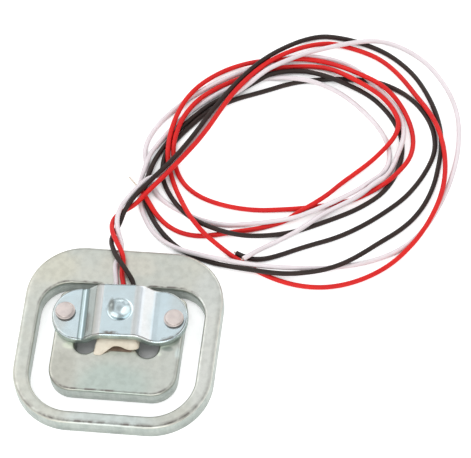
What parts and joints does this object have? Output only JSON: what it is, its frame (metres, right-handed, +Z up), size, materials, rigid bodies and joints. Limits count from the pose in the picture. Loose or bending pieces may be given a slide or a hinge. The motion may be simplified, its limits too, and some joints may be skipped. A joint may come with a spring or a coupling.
{
  "type": "strain gauge load cell",
  "caption": "Flat half bridge load cell: slotted steel plate with a bending neck, a riveted load strap with a pressed seat, and loose gauge wires.",
  "frame": {"origin": "centre of the plate at its underside", "axes": "+Z up from the plate through the load strap, +Y towards the bar that the wires leave over, +X to the right"},
  "size_m": [0.0712, 0.0822, 0.0064],
  "materials": {
    "zinc_plate": "zinc plated, satin, warm grey with faint bluish patches",
    "zinc_strap": "zinc plated, smooth, pale blue",
    "rivet": "plated, dull, slightly pink",
    "film": "amber film",
    "foil": "etched foil",
    "solder": "solder, bright",
    "tinned_core": "tinned copper strand",
    "sealant": "cream rubbery coat, matt",
    "cover_white": "smooth insulation",
    "cover_red": "smooth insulation",
    "cover_black": "smooth insulation"
  },
  "bodies": {
    "root": {"sensor_plate": "zinc_plate", "load_bridge": "zinc_strap", "rivet_left": "rivet", "rivet_right": "rivet", "gauge_carrier": "film", "gauge_foil": "foil", "solder_joint_white": "solder", "solder_joint_red": "solder", "solder_joint_black": "solder", "lead_white": "tinned_core", "lead_red": "tinned_core", "lead_black": "tinned_core", "sealant": "sealant", "wire_white": "cover_white", "wire_red": "cover_red", "wire_black": "cover_black", "tip_white": "tinned_core", "tip_red": "tinned_core", "tip_black": "tinned_core"}
  },
  "joints": []
}
